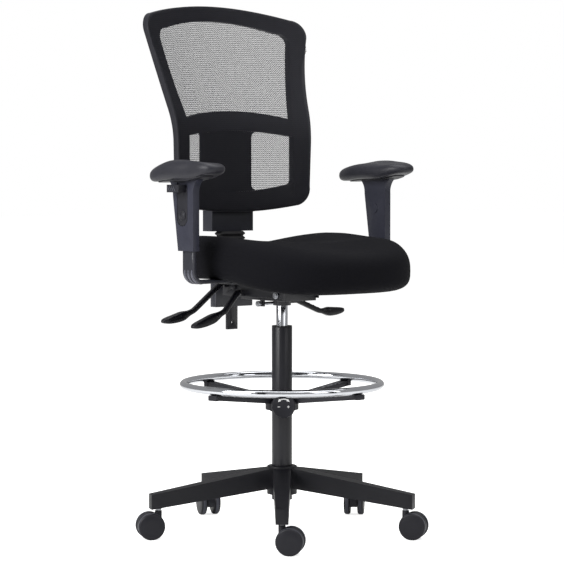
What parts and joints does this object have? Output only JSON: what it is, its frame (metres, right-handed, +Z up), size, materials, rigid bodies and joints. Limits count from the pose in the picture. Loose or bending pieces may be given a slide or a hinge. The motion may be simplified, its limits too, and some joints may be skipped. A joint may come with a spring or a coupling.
{
  "type": "drafting chair",
  "caption": "Tall swivel drafting chair with a mesh back, padded seat, adjustable arms and a sliding foot ring on castors.",
  "frame": {"origin": "the point of the floor under the middle of the column", "axes": "+Z up, -Y the way the sitter faces, +X to the sitter's left"},
  "size_m": [0.715, 0.7, 1.305],
  "materials": {
    "black_nylon": "satin",
    "wheel_nylon": "satin",
    "black_paint": "satin",
    "chrome_plate": "polished",
    "zinc_steel": "satin",
    "acetal": "matte",
    "plywood": "matte",
    "seat_fabric": "matte",
    "mesh_fabric": "matte",
    "soft_polyurethane": "satin",
    "bellows_rubber": "matte"
  },
  "bodies": {
    "base": {"star_base": "black_nylon", "castor_stems": "zinc_steel", "column_outer_tube": "black_paint", "column_guide_bush": "acetal", "column_thrust_bearing": "zinc_steel"},
    "piston": {"piston_rod": "zinc_steel", "rod_retaining_clip": "zinc_steel"},
    "lift": {"pressure_tube": "chrome_plate", "mechanism_housing": "black_paint", "tension_bolt": "zinc_steel"},
    "valve": {"gas_valve_pin": "zinc_steel"},
    "seat": {"seat_plate": "black_paint", "seat_screws": "zinc_steel", "tilt_axle": "zinc_steel", "recline_axle": "zinc_steel", "seat_board": "plywood", "seat_cushion": "seat_fabric", "left_arm_guide": "black_paint", "right_arm_guide": "black_paint"},
    "back_bracket": {"recline_bracket": "black_paint", "bar_bellows": "bellows_rubber"},
    "backrest": {"back_height_bar": "black_paint", "back_carrier": "black_nylon", "back_frame": "black_nylon", "back_mesh": "mesh_fabric", "lumbar_plate": "black_nylon"},
    "recline_lever": {"recline_lever_bar": "black_paint", "recline_lever_handle": "black_nylon"},
    "tilt_lever": {"tilt_lever_bar": "black_paint", "tilt_lever_handle": "black_nylon"},
    "gas_lever": {"gas_lever_bar": "black_paint", "gas_lever_handle": "black_nylon"},
    "ring_slider": {"ring_split_bush": "acetal"},
    "ring": {"ring_spider": "black_nylon", "foot_ring": "chrome_plate", "spoke_end_caps": "black_nylon"},
    "ring_knob": {"ring_clamp_knob": "black_nylon", "ring_clamp_screw": "zinc_steel"},
    "left_arm": {"left_arm_bar": "black_paint"},
    "left_rest": {"left_arm_sleeve": "black_nylon", "left_arm_pad": "soft_polyurethane", "left_pad_plate": "black_nylon"},
    "left_trigger": {"left_arm_trigger": "black_nylon"},
    "right_arm": {"right_arm_bar": "black_paint"},
    "right_rest": {"right_arm_sleeve": "black_nylon", "right_arm_pad": "soft_polyurethane", "right_pad_plate": "black_nylon"},
    "right_trigger": {"right_arm_trigger": "black_nylon"},
    "castor_1_swivel": {"castor_1_hood": "black_nylon"},
    "castor_1_roll": {"castor_1_wheels": "wheel_nylon"},
    "castor_2_swivel": {"castor_2_hood": "black_nylon"},
    "castor_2_roll": {"castor_2_wheels": "wheel_nylon"},
    "castor_3_swivel": {"castor_3_hood": "black_nylon"},
    "castor_3_roll": {"castor_3_wheels": "wheel_nylon"},
    "castor_4_swivel": {"castor_4_hood": "black_nylon"},
    "castor_4_roll": {"castor_4_wheels": "wheel_nylon"},
    "castor_5_swivel": {"castor_5_hood": "black_nylon"},
    "castor_5_roll": {"castor_5_wheels": "wheel_nylon"}
  },
  "joints": [
    {"name": "seat_swivel", "type": "hinge", "parent": "base", "child": "piston", "pos_m": [0, 0, 0.09], "axis": [0, 0, 1], "continuous": true},
    {"name": "seat_height", "type": "slide", "parent": "piston", "child": "lift", "axis": [0, 0, 1], "range_m": [-0.03, 0.17]},
    {"name": "gas_valve", "type": "slide", "parent": "lift", "child": "valve", "axis": [0, 0, -1], "range_m": [0, 0.004]},
    {"name": "seat_tilt", "type": "hinge", "parent": "lift", "child": "seat", "pos_m": [0, -0.042, 0.589], "axis": [1, 0, 0], "range_deg": [-3, 4]},
    {"name": "back_recline", "type": "hinge", "parent": "seat", "child": "back_bracket", "pos_m": [0, 0.118, 0.605], "axis": [-1, 0, 0], "range_deg": [-5, 18]},
    {"name": "back_height", "type": "slide", "parent": "back_bracket", "child": "backrest", "axis": [0, 0, 1], "range_m": [0, 0.06], "deforming": ["bar_bellows"]},
    {"name": "recline_lever_lift", "type": "hinge", "parent": "seat", "child": "recline_lever", "pos_m": [-0.062, 0.147, 0.609], "axis": [0, 1, 0], "range_deg": [0, 8], "stiffness_Nm_per_rad": 2},
    {"name": "tilt_lever_lift", "type": "hinge", "parent": "seat", "child": "tilt_lever", "pos_m": [-0.062, 0.081, 0.59], "axis": [0, 1, 0], "range_deg": [0, 8], "stiffness_Nm_per_rad": 2},
    {"name": "gas_lever_lift", "type": "hinge", "parent": "lift", "child": "gas_lever", "pos_m": [0.043, 0.05, 0.567], "axis": [0, -1, 0], "range_deg": [0, 6], "stiffness_Nm_per_rad": 2},
    {"name": "ring_height", "type": "slide", "parent": "base", "child": "ring_slider", "axis": [0, 0, 1], "range_m": [-0.1, 0.05]},
    {"name": "ring_turn", "type": "hinge", "parent": "ring_slider", "child": "ring", "pos_m": [0, 0, 0.319], "axis": [0, 0, 1], "continuous": true},
    {"name": "ring_knob_turn", "type": "hinge", "parent": "ring", "child": "ring_knob", "pos_m": [-0.03023, -0.03983, 0.319], "axis": [-0.6046, -0.7965, 0], "range_deg": [0, 360]},
    {"name": "left_arm_width", "type": "slide", "parent": "seat", "child": "left_arm", "axis": [1, 0, 0], "range_m": [0, 0.03]},
    {"name": "left_arm_height", "type": "slide", "parent": "left_arm", "child": "left_rest", "axis": [0, 0, 1], "range_m": [-0.03, 0.05]},
    {"name": "left_trigger_pull", "type": "hinge", "parent": "left_rest", "child": "left_trigger", "pos_m": [0.3164, -0.0105, 0.7625], "axis": [0, 1, 0], "range_deg": [0, 3], "stiffness_Nm_per_rad": 1},
    {"name": "right_arm_width", "type": "slide", "parent": "seat", "child": "right_arm", "axis": [-1, 0, 0], "range_m": [0, 0.03]},
    {"name": "right_arm_height", "type": "slide", "parent": "right_arm", "child": "right_rest", "axis": [0, 0, 1], "range_m": [-0.03, 0.05]},
    {"name": "right_trigger_pull", "type": "hinge", "parent": "right_rest", "child": "right_trigger", "pos_m": [-0.3164, -0.0105, 0.7625], "axis": [0, -1, 0], "range_deg": [0, 3], "stiffness_Nm_per_rad": 1},
    {"name": "castor_1_turn", "type": "hinge", "parent": "base", "child": "castor_1_swivel", "pos_m": [0.30693, 0.07086, 0.06], "axis": [0, 0, 1], "continuous": true},
    {"name": "castor_1_spin", "type": "hinge", "parent": "castor_1_swivel", "child": "castor_1_roll", "pos_m": [0.32179, 0.08424, 0.0325], "axis": [-0.6691, 0.7431, 0], "continuous": true},
    {"name": "castor_2_turn", "type": "hinge", "parent": "base", "child": "castor_2_swivel", "pos_m": [0.02745, 0.3138, 0.06], "axis": [0, 0, 1], "continuous": true},
    {"name": "castor_2_spin", "type": "hinge", "parent": "castor_2_swivel", "child": "castor_2_roll", "pos_m": [0.03527, 0.33221, 0.0325], "axis": [-0.9205, 0.3907, 0], "continuous": true},
    {"name": "castor_3_turn", "type": "hinge", "parent": "base", "child": "castor_3_swivel", "pos_m": [-0.28996, 0.12308, 0.06], "axis": [0, 0, 1], "continuous": true},
    {"name": "castor_3_spin", "type": "hinge", "parent": "castor_3_swivel", "child": "castor_3_roll", "pos_m": [-0.30793, 0.13185, 0.0325], "axis": [-0.4384, -0.8988, 0], "continuous": true},
    {"name": "castor_4_turn", "type": "hinge", "parent": "base", "child": "castor_4_swivel", "pos_m": [-0.20666, -0.23773, 0.06], "axis": [0, 0, 1], "continuous": true},
    {"name": "castor_4_spin", "type": "hinge", "parent": "castor_4_swivel", "child": "castor_4_roll", "pos_m": [-0.19407, -0.25328, 0.0325], "axis": [0.7771, 0.6293, 0], "continuous": true},
    {"name": "castor_5_turn", "type": "hinge", "parent": "base", "child": "castor_5_swivel", "pos_m": [0.16224, -0.27001, 0.06], "axis": [0, 0, 1], "continuous": true},
    {"name": "castor_5_spin", "type": "hinge", "parent": "castor_5_swivel", "child": "castor_5_roll", "pos_m": [0.17313, -0.28678, 0.0325], "axis": [0.8387, 0.5446, 0], "continuous": true}
  ],
  "couplings": [
    {"joint": "gas_valve", "follows": "gas_lever_lift", "m_per_rad": 0.035}
  ]
}
